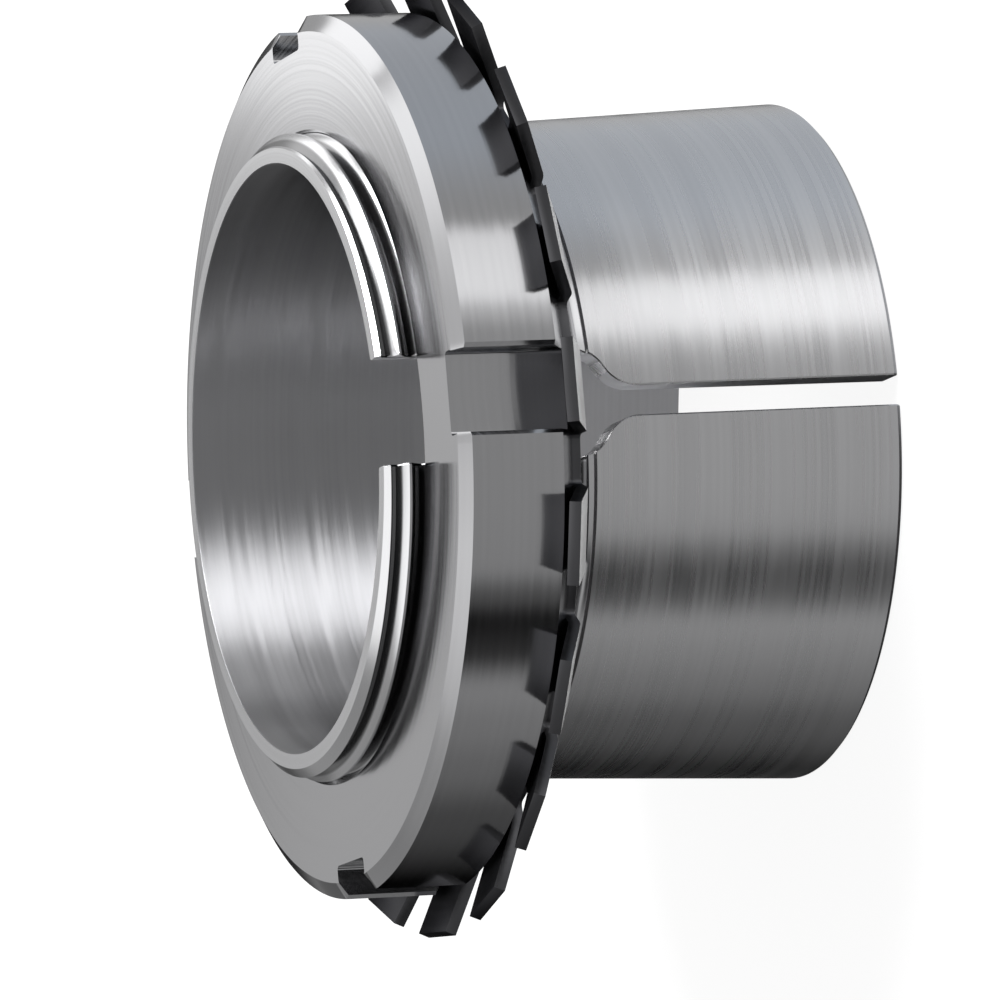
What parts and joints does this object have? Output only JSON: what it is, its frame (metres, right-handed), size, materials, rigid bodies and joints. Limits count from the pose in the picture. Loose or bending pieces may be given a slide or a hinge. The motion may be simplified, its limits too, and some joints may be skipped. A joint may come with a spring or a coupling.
{
  "type": "bearing adapter sleeve",
  "caption": "Slit tapered sleeve with a threaded end, a keyway, a slotted round lock nut and a toothed lock washer; clamps a bearing on a plain shaft.",
  "frame": {"origin": "on the sleeve's axis, at its large plain end face", "axes": "+Z along the axis towards the threaded end; -Y points through the slit and the keyway"},
  "size_m": [0.0824, 0.0822, 0.045],
  "materials": {
    "sleeve_steel": "finely turned, with a soft sheen",
    "nut_steel": "turned, faces polished",
    "washer_steel": "dark stamped sheet, faint sheen"
  },
  "bodies": {
    "sleeve_body": {"adapter_sleeve": "sleeve_steel"},
    "washer_body": {"lock_washer": "washer_steel"},
    "nut_body": {"lock_nut": "nut_steel"}
  },
  "joints": [
    {"name": "washer_slide", "type": "slide", "parent": "sleeve_body", "child": "washer_body", "axis": [0, 0, 1], "range_m": [-0.002, 0.008]},
    {"name": "nut_spin", "type": "hinge", "parent": "washer_body", "child": "nut_body", "pos_m": [0, 0, 0.0366], "axis": [0, 0, 1], "range_deg": [-360, 1440]}
  ],
  "couplings": [
    {"joint": "washer_slide", "follows": "nut_spin", "m_per_rad": 0.00031831}
  ]
}
